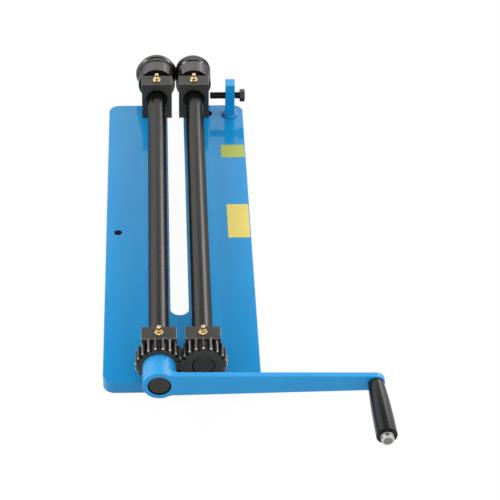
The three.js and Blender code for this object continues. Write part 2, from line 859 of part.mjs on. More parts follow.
beadRoller.add(piece("base_plate", basePlate(), plateBlue()));
addBearing("near_drive", driveX, 0);
addBearing("near_driven", drivenX, 0);
addBearing("far_drive", driveX, farBlockY);
addBearing("far_driven", drivenX, farBlockY);
const bead = die(beadDieRadius, beadHalfWidth, beadHeight);
const groove = die(grooveDieRadius, grooveHalfWidth, -grooveDepth);
const driveLine = addLine("drive", driveX, driveShaft(), false, "bead_die", bead);
addLine("driven", drivenX, shaft(drivenShaftNearY), true, "groove_die", groove);
addCrank(driveLine);
beadRoller.add(
  piece("adjuster_post", adjusterPost(), plateBlue(), postX, postY, plateThickness),
  piece("adjusting_screw", adjustingScrew(), blackScrewSteel(),
    adjusterTipX + adjusterLength, postY, axisZ),
);

export default beadRoller;
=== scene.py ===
"""The looks of a bench bead roller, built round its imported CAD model.

The object's sizes are in millimetres and turn into metres where a mesh or a place is made.
The lamps and the camera are in metres. X runs across the shafts, Y along them to the dies,
Z up. A round piece's own Z runs along its axis.
"""

import math

import bmesh
import bpy
from mathutils import Matrix, Vector


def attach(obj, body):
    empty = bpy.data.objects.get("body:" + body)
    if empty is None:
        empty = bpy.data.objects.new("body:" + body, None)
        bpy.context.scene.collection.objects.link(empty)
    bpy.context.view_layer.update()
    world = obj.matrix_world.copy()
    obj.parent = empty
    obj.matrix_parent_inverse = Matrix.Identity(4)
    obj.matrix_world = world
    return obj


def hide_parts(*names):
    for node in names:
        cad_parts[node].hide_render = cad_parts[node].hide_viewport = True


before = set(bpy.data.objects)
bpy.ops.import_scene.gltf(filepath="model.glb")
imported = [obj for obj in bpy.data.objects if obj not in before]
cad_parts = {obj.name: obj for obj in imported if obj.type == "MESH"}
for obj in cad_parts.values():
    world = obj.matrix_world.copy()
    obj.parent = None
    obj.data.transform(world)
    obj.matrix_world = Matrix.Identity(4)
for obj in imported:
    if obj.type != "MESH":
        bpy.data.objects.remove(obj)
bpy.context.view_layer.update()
scene = bpy.context.scene

MM = 0.001
FINE = 96  # sides of a round piece

# Places and sizes of the CAD model
DRIVE_X, DRIVEN_X = -25, 25
NEAR_Y, FAR_Y = 0, 511.5
AXIS_Z = 48.5
AXIS_HEIGHT = 31.5
CENTRE_DISTANCE = 50

PLATE_LEFT, PLATE_RIGHT = -90, 92
PLATE_NEAR, PLATE_FAR = -22.6, 531.4
PLATE_THICKNESS = 17
PLATE_CORNER, PLATE_EDGE = 14, 0.8
THROAT_HALF, THROAT_END, THROAT_MOUTH = 11, 104.7, 2
BENCH_HOLE_X, BENCH_HOLE_Y, BENCH_HOLE_RADIUS = -75, 252.4, 4.9
SLOT_INNER, SLOT_OUTER, SLOT_WIDTH = 16, 49.6, 12.9
RECESS_RADIUS, RECESS_DEPTH, RECESS_INNER = 11.2, 7.8, 13.2
RECESS_OUTER = SLOT_OUTER + RECESS_RADIUS - SLOT_WIDTH / 2

SHAFT_RADIUS, SHAFT_CHAMFER = 12, 1
BORE_RADIUS = 12.05
BUSH_BORE, BLOCK_BORE = 12.1, 14.1
BLOCK_WIDTH, BLOCK_DEPTH, BLOCK_HEIGHT = 40.3, 21, 55
BLOCK_EDGE, BUSH_LENGTH = 0.55, 17

GEAR_TEETH, GEAR_MODULE, GEAR_BACKLASH = 20, 2.5, 0.5
GEAR_NEAR, GEAR_FAR, GEAR_CHAMFER = -30.8, -10.8, 1.2
PRESSURE_ANGLE = math.radians(20)
KEY_HALF, KEY_DROP = 3, 14.55
PITCH_RADIUS = CENTRE_DISTANCE / 2
TIP_RADIUS = PITCH_RADIUS + GEAR_MODULE
ROOT_RADIUS = PITCH_RADIUS - 1.25 * GEAR_MODULE
BASE_RADIUS = PITCH_RADIUS * math.cos(PRESSURE_ANGLE)

HUB_RADIUS, HUB_NEAR, HUB_FAR = 19.1, -63.5, -31.1
HUB_EDGE, HUB_CHAMFER, HUB_RECESS = 1.2, 1.3, 1.2
ARM_THICKNESS, ARM_ROOT, ARM_TIP, ARM_BLEND = 7.5, 30, 20.9, 10
ARM_EYE, ARM_EDGE, HUB_FILLET = HUB_RADIUS - 2.4, 0.8, 6
CRANK_RADIUS, GRIP_TILT = 242.8, math.radians(2.85)
GRUB_Y, GRUB_RADIUS, GRUB_FLOOR = -43.55, 3.95, 11.25
GRIP_WASHER_START, GRIP_WASHER_THICKNESS = 0.77, 1.9
GRIP_WASHER_BORE, GRIP_WASHER_RADIUS = 5.05, 9.4
GRIP_START, GRIP_LENGTH = 2.97, 80.4
GRIP_BORE, GRIP_ROOT, GRIP_END = 5.2, 9.3, 11.85
HEAD_START, HEAD_LENGTH, HEAD_RADIUS = 83.67, 7.68, 7.3

DIE_NEAR, DIE_FAR, BEAD_PLACE = 534.4, 571.9, 27.4
BEAD_DIE_RADIUS, BEAD_HALF_WIDTH, BEAD_HEIGHT = 24.85, 4, 3.5
GROOVE_DIE_RADIUS, GROOVE_HALF_WIDTH, GROOVE_DEPTH = 23.85, 5, 4
DIE_LAND, END_GAP = 1.8, 0.3
SPACER_NEAR, SPACER_RADIUS = 522.3, 16
BOLT_RADIUS, WASHER_BORE = 4.95, 5.25
BLOCK_WASHER_RADIUS, BLOCK_WASHER_THICKNESS = 10, 2
END_WASHER_RADIUS, END_WASHER_THICKNESS = 17, 4
END_BOLT_ACROSS, END_BOLT_HEIGHT, END_BOLT_LENGTH = 16, 6.38, 22

POST_X, POST_Y = 73.8, 508.8
POST_WIDTH, POST_DEPTH, POST_HEIGHT = 12.6, 17, 52.5
WELD_RING, WELD_REACH, WELD_HEIGHT = 7.5, 3.7, 4.7
SCREW_TIP, SCREW_LENGTH, SCREW_TURN = 46.95, 40, math.radians(48)
SCREW_RADIUS, SCREW_PITCH, TAP_RADIUS = 4.9, 1.5, 5.1
SCREW_HEAD_ACROSS, SCREW_HEAD_HEIGHT = 15, 7


# Plain 2-D points

def arc(x, y, radius, start, end, steps):
    """Points on an arc about (x, y), between two angles in degrees."""
    turns = [math.radians(start + (end - start) * step / steps) for step in range(steps + 1)]
    return [(x + radius * math.cos(turn), y + radius * math.sin(turn)) for turn in turns]


def eased(corners, steps=5, closed=False):
    """Points through corners of (x, y) or (x, y, radius), where a radius rounds its corner."""
    points = []
    for index, (x, y, *rest) in enumerate(corners):
        inner = closed or 0 < index < len(corners) - 1
        if not rest or not inner:
            points.append((x, y))
            continue
        here = Vector((x, y))
        back = (Vector(corners[index - 1][:2]) - here).normalized()
        ahead = (Vector(corners[(index + 1) % len(corners)][:2]) - here).normalized()
        half = back.angle(ahead) / 2
        middle = here + (back + ahead).normalized() * rest[0] / math.sin(half)
        start = here + back * rest[0] / math.tan(half) - middle
        end = here + ahead * rest[0] / math.tan(half) - middle
        turn = math.atan2(start.x * end.y - start.y * end.x, start.dot(end))
        for step in range(steps + 1):
            spot = middle + Matrix.Rotation(turn * step / steps, 2) @ start
            points.append((spot.x, spot.y))
    return points


def ring(x, y, radius, sides=FINE):
    return arc(x, y, radius, 0, 360 - 360 / sides, sides - 1)


def rounded_box(x1, x2, y1, y2, radius):
    corners = ((x1, y1), (x2, y1), (x2, y2), (x1, y2))
    return eased([(x, y, radius) for x, y in corners], closed=True)


# Meshes

def mesh_of(build):
    """A mesh from a function that fills a bmesh, with its faces turned outwards."""
    bm = bmesh.new()
    build(bm)
    bmesh.ops.remove_doubles(bm, verts=bm.verts, dist=1e-6)
    bmesh.ops.recalc_face_normals(bm, faces=bm.faces)
    mesh = bpy.data.meshes.new("mesh")
    bm.to_mesh(mesh)
    bm.free()
    return mesh


def skin(bm, rows, closed=False):
    """Joins rows of vertices, each of one vertex or of the same number, by faces."""
    pairs = list(zip(rows, rows[1:]))
    if closed:
        pairs.append((rows[-1], rows[0]))
    for low, high in pairs:
        sides = max(len(low), len(high))
        for side in range(sides):
            after = (side + 1) % sides
            around = [low[side % len(low)], low[after % len(low)],
                      high[after % len(high)], high[side % len(high)]]
            corners = list(dict.fromkeys(around))
            if len(corners) > 2:
                bm.faces.new(corners)


def turned(profile, sides=FINE):
    """A solid turned about Z from points of (radius, height), a ring where it starts off the axis."""
    def build(bm):
        rows = []
        for radius, height in profile:
            if radius == 0:
                rows.append([bm.verts.new((0, 0, height * MM))])
                continue
            rows.append([bm.verts.new((x * MM, y * MM, height * MM))
                         for x, y in ring(0, 0, radius, sides)])
        skin(bm, rows, closed=profile[0][0] > 0)
    return mesh_of(build)


def evaluated(holder, *others):
    """The mesh that an object makes, with its helpers removed afterwards."""
    mesh = bpy.data.meshes.new_from_object(
        holder.evaluated_get(bpy.context.evaluated_depsgraph_get()))
    for thing in (holder, *others):
        bpy.data.objects.remove(thing)
    return mesh


def shown(name, data):
    thing = bpy.data.objects.new(name, data)
    scene.collection.objects.link(thing)
    return thing


def slab(loops, thickness, edge=0, steps=4):
    """A plate in XY from Z = 0 up. The first loop is its outline and the others are holes."""
    curve = bpy.data.curves.new("outline", "CURVE")
    curve.dimensions = "2D"
    curve.fill_mode = "BOTH"
    curve.extrude = (thickness / 2 - edge) * MM
    curve.bevel_depth = edge * MM
    curve.bevel_resolution = steps
    curve.offset = -edge * MM
    for loop in loops:
        spline = curve.splines.new("POLY")
        spline.points.add(len(loop) - 1)
        for point, (x, y) in zip(spline.points, loop):
            point.co = (x * MM, y * MM, 0, 1)
        spline.use_cyclic_u = True
    mesh = evaluated(shown("outline", curve))
    mesh.transform(raised(thickness / 2))
    return mesh_of(lambda bm: bm.from_mesh(mesh))


def moved(mesh, place):
    mesh.transform(place)
    return mesh


def combine(first, second, operation="DIFFERENCE"):
    base, tool = shown("base", first), shown("tool", second)
    step = base.modifiers.new("combine", "BOOLEAN")
    step.object = tool
    step.operation = operation
    step.solver = "EXACT"
    return evaluated(base, tool)


def rod(radius, start, end, sides=48):
    return turned([(0, start), (radius, start), (radius, end), (0, end)], sides)


def hexagon(across, height):
    """A hexagonal bar on Z = 0 with flats as far apart as given."""
    return rod(across / math.sqrt(3), 0, height, 6)


def placed(x, y, z, along=(0, 0, 1), across=(1, 0, 0)):
    """The place of a piece whose Z lies along one direction and whose X is near another."""
    axis = Vector(along).normalized()
    side = axis.cross(Vector(across)).normalized()
    turn = Matrix((side.cross(axis), side, axis)).transposed()
    return Matrix.Translation(Vector((x, y, z)) * MM) @ turn.to_4x4()


def along_shaft(x, y):
    """The place of a piece whose Z runs from Y on along the shaft at X."""
    return placed(x, y, AXIS_Z, along=(0, 1, 0))


def raised(height):
    return Matrix.Translation((0, 0, height * MM))


# Materials

class Finish:
    """One procedural material, whose shader and coordinates its methods build on."""

    def __init__(self, slot, color, metallic, roughness):
        self.material = bpy.data.materials.new(slot)
        self.material.use_nodes = True
        self.nodes = self.material.node_tree.nodes
        self.links = self.material.node_tree.links
        self.shader = self.nodes["Principled BSDF"]
        self.shader.inputs["Base Color"].default_value = (*color, 1)
        self.shader.inputs["Metallic"].default_value = metallic
        self.shader.inputs["Roughness"].default_value = roughness
        self.color, self.roughness = color, roughness
        self.place = self.nodes.new("ShaderNodeTexCoord").outputs["Object"]
        self.height = None

    def join(self, source, target):
        self.links.new(source, target)

    def math(self, operation, *values):
        node = self.nodes.new("ShaderNodeMath")
        node.operation = operation
        for socket, value in zip(node.inputs, values):
            if isinstance(value, (int, float)):
                socket.default_value = value
            else:
                self.join(value, socket)
        return node.outputs[0]

    def spread(self, scale):
        """The object's coordinates, stretched by a scale for each axis."""
        node = self.nodes.new("ShaderNodeMapping")
        node.inputs["Scale"].default_value = scale
        self.join(self.place, node.inputs["Vector"])
        return node.outputs[0]

    def polar(self):
        """The distance from the piece's axis and the height along it."""
        split = self.nodes.new("ShaderNodeSeparateXYZ")
        self.join(self.place, split.inputs[0])
        squares = [self.math("MULTIPLY", split.outputs[i], split.outputs[i]) for i in (0, 1)]
        return self.math("SQRT", self.math("ADD", *squares)), split.outputs[2]

    def turned_marks(self, scale):
        """Coordinates that are the same all the way round the piece's axis."""
        radius, height = self.polar()
        merge = self.nodes.new("ShaderNodeCombineXYZ")
        self.join(self.math("MULTIPLY", radius, scale), merge.inputs[0])
        self.join(self.math("MULTIPLY", height, scale), merge.inputs[2])
        return merge.outputs[0]

    def noise(self, vector, scale=1, detail=3, rough=0.5):
        node = self.nodes.new("ShaderNodeTexNoise")
        node.inputs["Scale"].default_value = scale
        node.inputs["Detail"].default_value = detail
        node.inputs["Roughness"].default_value = rough
        self.join(vector, node.inputs["Vector"])
        return node.outputs["Fac"]

    def ranged(self, value, low, high, start=0.3, end=0.7):
        """Maps a noise between two values onto another pair."""
        node = self.nodes.new("ShaderNodeMapRange")
        for name, number in (("From Min", start), ("From Max", end), ("To Min", low), ("To Max", high)):
            node.inputs[name].default_value = number
        self.join(value, node.inputs["Value"])
        return node.outputs["Result"]

    def tint(self, value, other, start=0.35, end=0.65):
        """Blends the colour so far towards another where a value is high."""
        node = self.nodes.new("ShaderNodeMix")
        node.data_type = "RGBA"
        socket = self.shader.inputs["Base Color"]
        if socket.is_linked:
            self.join(socket.links[0].from_socket, node.inputs["A"])
        else:
            node.inputs["A"].default_value = (*self.color, 1)
        node.inputs["B"].default_value = (*other, 1)
        self.join(self.ranged(value, 0, 1, start, end), node.inputs["Factor"])
        self.join(node.outputs["Result"], socket)

    def vary_roughness(self, value, amount):
        low, high = self.roughness - amount, self.roughness + amount
        self.join(self.ranged(value, low, high), self.shader.inputs["Roughness"])

    def bump(self, value, depth, strength=1):
        """Raises the surface by a depth in millimetres where a value is high."""
        node = self.nodes.new("ShaderNodeBump")
        node.inputs["Strength"].default_value = strength
        node.inputs["Distance"].default_value = depth * MM
        self.join(value, node.inputs["Height"])
        if self.height:
            self.join(self.height, node.inputs["Normal"])
        self.height = node.outputs["Normal"]
        self.join(self.height, self.shader.inputs["Normal"])


def paint(slot, color, deep, roughness, peel, coat, haze):
    """Enamel with a slight orange peel, cloudy by a few per cent."""
    finish = Finish(slot, color, 0, roughness)
    finish.tint(finish.noise(finish.place, 14, 3), deep)
    finish.vary_roughness(finish.noise(finish.place, 60, 4), 0.05)
    finish.bump(finish.noise(finish.place, 420, 2), peel)
    finish.bump(finish.noise(finish.place, 2600, 2), peel / 6)
    finish.shader.inputs["Specular IOR Level"].default_value = 0.1
    finish.shader.inputs["Coat Weight"].default_value = coat
    finish.shader.inputs["Coat Roughness"].default_value = haze
    return finish.material


def turned_steel(slot, color, pale, metallic, roughness, marks=0.0025):
    """Blackened steel, turned on a lathe: fine rings round the axis, and handling streaks along it."""
    finish = Finish(slot, color, metallic, roughness)
    finish.shader.inputs["Specular Tint"].default_value = (0.5, 0.5, 0.5, 1)
    finish.tint(finish.noise(finish.spread((700, 700, 9)), 1, 4), pale)
    rings = finish.noise(finish.turned_marks(5200), 1, 3, 0.7)
    finish.vary_roughness(finish.noise(finish.spread((90, 90, 30)), 1, 5), 0.03)
    finish.bump(rings, marks)
    finish.bump(finish.noise(finish.spread((900, 900, 500)), 1, 3), marks / 2)
    return finish.material


def brushed_steel(slot, color, pale, metallic, roughness, sheen=0.5, worn_highlight_radius=None):
    """Blackened steel, ground before it was blackened, and worn pale beyond a radius, paler there also
    as a painted highlight.
    """
    finish = Finish(slot, color, metallic, roughness)
    finish.shader.inputs["Specular IOR Level"].default_value = sheen
    lines = finish.noise(finish.spread((30, 1900, 1900)), 1, 3, 0.6)
    finish.tint(finish.noise(finish.place, 240, 5, 0.6), pale)
    finish.tint(lines, pale, 0.5, 1.1)
    finish.vary_roughness(finish.noise(finish.place, 120, 4), 0.06)
    finish.bump(lines, 0.004)
    finish.bump(finish.noise(finish.place, 2200, 2), 0.004)
    if worn_highlight_radius:
        # Beyond the radius the steel turns pale and fully metallic: wear, and a painted highlight too.
        worn_highlight = finish.ranged(finish.polar()[0], 0, 1, (worn_highlight_radius - 0.5) * MM, worn_highlight_radius * MM)
        finish.tint(worn_highlight, (0.14, 0.137, 0.132), 0, 1)
        finish.join(finish.ranged(worn_highlight, metallic, 1, 0, 1), finish.shader.inputs["Metallic"])
        finish.join(finish.ranged(worn_highlight, roughness, 0.32, 0, 1), finish.shader.inputs["Roughness"])
    return finish.material


def plain_metal(slot, color, pale, roughness, grain=0.006, metallic=1, sheen=0.5):
    """Metal with a fine grain and a faint tarnish."""
    finish = Finish(slot, color, metallic, roughness)
    finish.shader.inputs["Specular IOR Level"].default_value = sheen
    finish.tint(finish.noise(finish.place, 320, 4, 0.6), pale)
    finish.vary_roughness(finish.noise(finish.place, 500, 3), 0.06)
    finish.bump(finish.noise(finish.place, 2400, 3), grain)
    return finish.material


def moulded(slot, color, pale, roughness):
    """Black plastic with a fine moulded grain."""
    finish = Finish(slot, color, 0, roughness)
    finish.shader.inputs["Specular IOR Level"].default_value = 0.26
    finish.tint(finish.noise(finish.place, 90, 4), pale)
    finish.vary_roughness(finish.noise(finish.place, 260, 3), 0.03)
    finish.bump(finish.noise(finish.place, 3200, 3), 0.002)
    return finish.material


def film(slot, color, deep):
    """Plain plastic film, a little uneven where it was rubbed down."""
    finish = Finish(slot, color, 0, 0.35)
    finish.tint(finish.noise(finish.place, 55, 4), deep)
    finish.vary_roughness(finish.noise(finish.place, 150, 3), 0.06)
    finish.bump(finish.noise(finish.place, 260, 2), 0.02)
    return finish.material


FINISHES = {
    "blue_paint": paint("blue_paint", (0.003, 0.268, 0.61), (0.004, 0.283, 0.63), 0.35, 0.01, 0.55,
                        0.07),
    "crank_paint": paint("crank_paint", (0.004, 0.29, 0.66), (0.005, 0.305, 0.68), 0.35, 0.01, 0.8,
                         0.4),
    "block_steel": brushed_steel("block_steel", (0.053, 0.052, 0.047), (0.069, 0.067, 0.061), 0.3, 0.4,
                                 0.2),
    "shaft_steel": turned_steel("shaft_steel", (0.054, 0.053, 0.051), (0.064, 0.063, 0.06), 0.95, 0.25),
    "die_steel": turned_steel("die_steel", (0.1, 0.098, 0.095), (0.116, 0.114, 0.11), 0.95, 0.2),
    # The gear's tooth tips beyond 27.1 mm are worn, and paler as a painted highlight.
    "gear_steel": brushed_steel("gear_steel", (0.013, 0.0125, 0.0115), (0.022, 0.021, 0.019), 0.2,
                                0.4, 0.35, 27.1),
    "bolt_steel": plain_metal("bolt_steel", (0.009, 0.009, 0.009), (0.017, 0.0165, 0.016), 0.3,
                              metallic=0.2, sheen=0.3),
    "plain_steel": plain_metal("plain_steel", (0.48, 0.48, 0.47), (0.6, 0.6, 0.59), 0.36),
    "bronze": plain_metal("bronze", (0.05, 0.036, 0.022), (0.07, 0.05, 0.03), 0.5, 0.02),
    "brass": plain_metal("brass", (0.6, 0.41, 0.18), (0.76, 0.57, 0.31), 0.14),
    "grip_black": moulded("grip_black", (0.004, 0.0038, 0.0036), (0.006, 0.0057, 0.0054), 0.26),
}
# Dark flat ends of the shafts; on the plate the same material paints the shade inside the bench hole.
DARK_END_AND_HOLE_SHADE = plain_metal("dark_end_and_painted_hole_shade", (0.034, 0.032, 0.03), (0.044, 0.041, 0.039), 0.5, metallic=0,
                       sheen=0.2)
GEAR_FACE = plain_metal("gear_face", (0.05, 0.045, 0.039), (0.066, 0.06, 0.052), 0.5, metallic=0,
                        sheen=0.15)
# Near-black navy: painted shade in the bores, in the gaps round the shafts and on the slot's walls.
PAINTED_SHADE = plain_metal("painted_shade_in_bores_and_slots", (0.003, 0.005, 0.009), (0.005, 0.008, 0.013), 0.6,
                        metallic=0, sheen=0.08)
# Pale steel, a painted highlight on the blocks' bevels and on the bead die's land.
PAINTED_EDGE_HIGHLIGHT = plain_metal("painted_edge_highlight", (0.2, 0.2, 0.19), (0.3, 0.3, 0.29), 0.35)
# Glossier paint for the weld, darker than the post's as painted shade.
SHADED_WELD_PAINT = paint("glossy_weld_paint_darkened_as_shade", (0.002, 0.16, 0.4), (0.003, 0.2, 0.47), 0.3, 0.01, 1, 0.03)
# Pale steel, a painted glint on the chamfers round the gears' teeth.
PAINTED_TOOTH_GLINT = plain_metal("painted_tooth_glint", (0.5, 0.5, 0.48), (0.62, 0.62, 0.6), 0.4)
DULL_END = plain_metal("dull_steel_end", (0.2, 0.2, 0.18), (0.25, 0.25, 0.23), 0.5)


# Tests that pick the faces of a piece for another material

def is_end(mesh, face):
    return abs(face.normal.z) > 0.99


def within(radius):
    """A test for faces that lie nearer to the axis than a radius."""
    def test(mesh, face):
        return all(mesh.vertices[corner].co.xy.length < radius * MM for corner in face.vertices)
    return test


# The chamfers round the teeth, where a glint is painted.
def is_tooth_chamfer(mesh, face):
    outer = face.center.xy.length > (TIP_RADIUS - GEAR_CHAMFER) * MM
    return outer and 0.3 < abs(face.normal.z) < 0.95


def is_bead_land(mesh, face):
    """The narrow ring of the bead die before its bead, where a highlight line is painted."""
    end = BEAD_PLACE - BEAD_HALF_WIDTH
    return end - DIE_LAND < face.center.z / MM < end and face.normal.xy.length > 0.99


def is_weld(mesh, face):
    """The bead of weld at the foot of the post, whose paint is darkened as painted shade."""
    return face.center.z < WELD_HEIGHT * MM


# The bench hole's wall, where shade is painted.
def is_bench_hole(mesh, face):
    place = Vector((BENCH_HOLE_X, BENCH_HOLE_Y)) * MM
    return (face.center.xy - place).length < BENCH_HOLE_RADIUS * MM


def is_slot_wall(mesh, face):
    """The walls of the adjusting slot and of its recess, where shade is painted."""
    margin = 0.2
    beside = RECESS_INNER - margin < face.center.x / MM < RECESS_OUTER + margin
    level = abs(face.center.y / MM - FAR_Y) < RECESS_RADIUS + margin
    return beside and level and abs(face.normal.z) < 0.5


def is_block_edge(mesh, face):
    """A bevel of a block, but not one of its bore, where a highlight is painted."""
    away = (face.center.xy - Vector((0, AXIS_HEIGHT)) * MM).length > (BLOCK_BORE + 1) * MM
    return away and max(abs(part) for part in face.normal) < 0.98


# Pieces

def piece(name, mesh, place, body, slot, nodes=(), material=None, others=()):
    """Shows a mesh as one piece that rides on a body and stands for CAD nodes.

    Each of the others is a material and the test that picks its faces.
    """
    mesh.shade_smooth()
    mesh.set_sharp_from_angle(angle=math.radians(34))
    mesh.materials.clear()
    mesh.materials.append(material or FINISHES[slot])
    for index, (other, picks) in enumerate(others, 1):
        mesh.materials.append(other)
        for face in mesh.polygons:
            if picks(mesh, face):
                face.material_index = index
    thing = shown(name, mesh)
    thing.matrix_world = place
    even = thing.modifiers.new("even normals", "WEIGHTED_NORMAL")
    even.keep_sharp = True
    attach(thing, body)
    if nodes:
        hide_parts(*nodes)
    return thing


# Base plate

def stadium(x1, x2, y, width):
    """The outline of a slot along X with round ends."""
    reach = width / 2
    return [*arc(x2 - reach, y, reach, -90, 90, 24), *arc(x1 + reach, y, reach, 90, 270, 24)]


def plate_mesh():
    corner, mouth = PLATE_CORNER, THROAT_MOUTH
    outline = [
        *arc(PLATE_LEFT + corner, PLATE_NEAR + corner, corner, 180, 270, 16),
        *arc(PLATE_RIGHT - corner, PLATE_NEAR + corner, corner, 270, 360, 16),
        *arc(PLATE_RIGHT - corner, PLATE_FAR - corner, corner, 0, 90, 16),
        *arc(THROAT_HALF + mouth, PLATE_FAR - mouth, mouth, 90, 180, 8),
        *arc(0, THROAT_END, THROAT_HALF, 0, -180, 40),
        *arc(-THROAT_HALF - mouth, PLATE_FAR - mouth, mouth, 0, 90, 8),
        *arc(PLATE_LEFT + corner, PLATE_FAR - corner, corner, 90, 180, 16),
    ]
    slot = stadium(SLOT_INNER, SLOT_OUTER, FAR_Y, SLOT_WIDTH)
    hole = ring(BENCH_HOLE_X, BENCH_HOLE_Y, BENCH_HOLE_RADIUS, 48)
    mesh = slab([outline, slot, hole], PLATE_THICKNESS, PLATE_EDGE)
    depth = RECESS_DEPTH + PLATE_THICKNESS
    recesses = [slab([stadium(RECESS_INNER, RECESS_OUTER, FAR_Y, 2 * RECESS_RADIUS)], depth)]
    for x, y in ((DRIVE_X, NEAR_Y), (DRIVEN_X, NEAR_Y), (DRIVE_X, FAR_Y)):
        recesses.append(slab([ring(x, y, RECESS_RADIUS, 64)], depth))
    for recess in recesses:
        mesh = combine(mesh, moved(recess, raised(-PLATE_THICKNESS)))
    return mesh


# The bench hole's wall and the walls of the adjusting slot and its recess are painted dark as their
# shade.
piece("painted_plate", plate_mesh(), Matrix.Identity(4), "frame", "blue_paint", ["base_plate"],
      others=[(DARK_END_AND_HOLE_SHADE, is_bench_hole), (PAINTED_SHADE, is_slot_wall)])


# Plain films on the plate, sunk by a hair so that no gap shows

def plain_film(name, x1, x2, y1, y2, color, deep):
    mesh = slab([rounded_box(x1, x2, y1, y2, 1.2)], 0.18, 0.05, 1)
    piece(name, mesh, raised(PLATE_THICKNESS - 0.02), "frame", "blue_paint",
          material=film(name, color, deep))


plain_film("yellow_film_upper", 59.6, 90.7, 410, 438, (0.42, 0.49, 0.065), (0.46, 0.53, 0.085))
plain_film("yellow_film_lower", 63, 90.7, 240, 308, (0.76, 0.62, 0.13), (0.8, 0.66, 0.15))


# Bearings

def block_mesh():
    side = BLOCK_WIDTH / 2
    outline = eased([(-side, 0), (side, 0), (side, BLOCK_HEIGHT, BLOCK_EDGE),
                     (-side, BLOCK_HEIGHT, BLOCK_EDGE)], closed=True)
    return slab([outline, ring(0, AXIS_HEIGHT, BLOCK_BORE)], BLOCK_DEPTH, BLOCK_EDGE, 3)


def bush_mesh():
    half = BUSH_LENGTH / 2
    outer = BLOCK_BORE - 0.05
    return turned(eased([(BUSH_BORE, -half, 0.3), (outer, -half, 0.3), (outer, half, 0.3),
                         (BUSH_BORE, half, 0.3)], 3, closed=True))


def nipple_mesh():
    """A round flange, a hexagon with its corners turned down, and a ball with a dimple."""
    flange = turned(eased([(0, 0), (5.1, 0, 0.15), (5.1, 1.2, 0.2), (4.3, 2, 0.2), (0, 2)]), 64)
    flats = combine(moved(hexagon(6.8, 4.8), Matrix.Rotation(math.radians(30), 4, "Z")),
                    turned([(0, 1), (3.95, 1), (3.95, 3.7), (2.9, 4.8), (0, 4.8)]), "INTERSECT")
    ball = turned([(0, 3), (2.7, 3), (2.4, 5.4), *arc(0, 8.05, 2.7, -40, 76, 14),
                   (0.3, 10.2), (0, 10.2)], 48)
    return combine(combine(flange, flats, "UNION"), ball, "UNION")


def block_bolt_mesh():
    """A button head with a hexagonal socket, hanging below the washer in its recess."""
    head = turned(eased([
        (0, 0.3), (5.4, 0.3, 1), (7.9, 2.6, 2), (8.75, 4.9, 0.3), (8.75, 5.8, 0.1),
        (BOLT_RADIUS, 5.8), (BOLT_RADIUS, 24), (0, 24),
    ]), 64)
    return combine(head, moved(hexagon(6, 6), raised(-3)))


def washer_mesh(inner, outer, thickness, ease=0.3):
    """A flat ring from Z = 0 up."""
    return turned(eased([(inner, 0, ease), (outer, 0, ease), (outer, thickness, ease),
                         (inner, thickness, ease)], 3, closed=True))


BEARINGS = (
    ("near_drive", DRIVE_X, NEAR_Y, "frame"),
    ("far_drive", DRIVE_X, FAR_Y, "frame"),
    ("near_driven", DRIVEN_X, NEAR_Y, "driven_bearings"),
    ("far_driven", DRIVEN_X, FAR_Y, "driven_bearings"),
)
BEARING_PARTS = (
    ("block", "eased", block_mesh(), "block_steel"),
    ("bush", "turned", bush_mesh(), "bronze"),
    ("nipple", "dimpled", nipple_mesh(), "brass"),
    ("block_bolt", "button", block_bolt_mesh(), "bolt_steel"),
    ("block_washer", "turned",
     washer_mesh(WASHER_BORE, BLOCK_WASHER_RADIUS, BLOCK_WASHER_THICKNESS), "plain_steel"),
)
for bearing, x, y, body in BEARINGS:
    places = {
        "block": placed(x, y + BLOCK_DEPTH / 2, PLATE_THICKNESS, along=(0, -1, 0)),
        "bush": along_shaft(x, y),
        "nipple": placed(x, y, PLATE_THICKNESS + BLOCK_HEIGHT, across=(0, 1, 0)),
        "block_bolt": placed(x, y, 0),
        "block_washer": placed(x, y, RECESS_DEPTH - BLOCK_WASHER_THICKNESS),
    }
    for part, word, mesh, slot in BEARING_PARTS:
        node = f"{bearing}_{part}"
        # A block's bevels get a painted highlight.
        piece(f"{word}_{node}", mesh.copy(), places[part], body, slot, [node],
              others=[(PAINTED_EDGE_HIGHLIGHT, is_block_edge)] if part == "block" else ())


# Gears, made from 0 to their width along the shaft

def involute(radius):
    """How far an involute from the base circle has turned where it reaches a radius."""
    pressure = math.acos(min(1, BASE_RADIUS / radius))
    return math.tan(pressure) - pressure


def tooth_half_angle(radius):
    at_pitch = math.pi / (2 * GEAR_TEETH) - GEAR_BACKLASH / (4 * PITCH_RADIUS)
    return at_pitch + involute(PITCH_RADIUS) - involute(max(radius, BASE_RADIUS))


def gear_outline(start):
    """Teeth with involute flanks, eased tips and rounded roots, the first at the start angle."""
    ease = 0.35
    flank = [BASE_RADIUS + (TIP_RADIUS - ease - BASE_RADIUS) * share / 6 for share in range(7)]
    side = [(radius, tooth_half_angle(radius)) for radius in flank]
    tip = tooth_half_angle(TIP_RADIUS)
    side += [(TIP_RADIUS - ease * 0.3, tip + 0.1 * ease / TIP_RADIUS),
             (TIP_RADIUS, tip - 0.7 * ease / TIP_RADIUS)]
    root = side[0][1]
    side = [(ROOT_RADIUS, root + 0.035), (ROOT_RADIUS + 0.18, root + 0.012),
            (ROOT_RADIUS + 0.6, root)] + side
    points = []
    for tooth in range(GEAR_TEETH):
        middle = start + tooth * 2 * math.pi / GEAR_TEETH
        polar = [(r, middle - a) for r, a in side] + [(r, middle + a) for r, a in reversed(side)]
        points += [(r * math.cos(a), r * math.sin(a)) for r, a in polar]
    return points


def keyed_bore():
    """A round bore with the key's slot at its lower side, which is +Y in a piece along a shaft."""
    corner = math.degrees(math.asin(KEY_HALF / BORE_RADIUS))
    return [*arc(0, 0, BORE_RADIUS, 90 + corner, 450 - corner, 60),
            (KEY_HALF, KEY_DROP), (-KEY_HALF, KEY_DROP)]


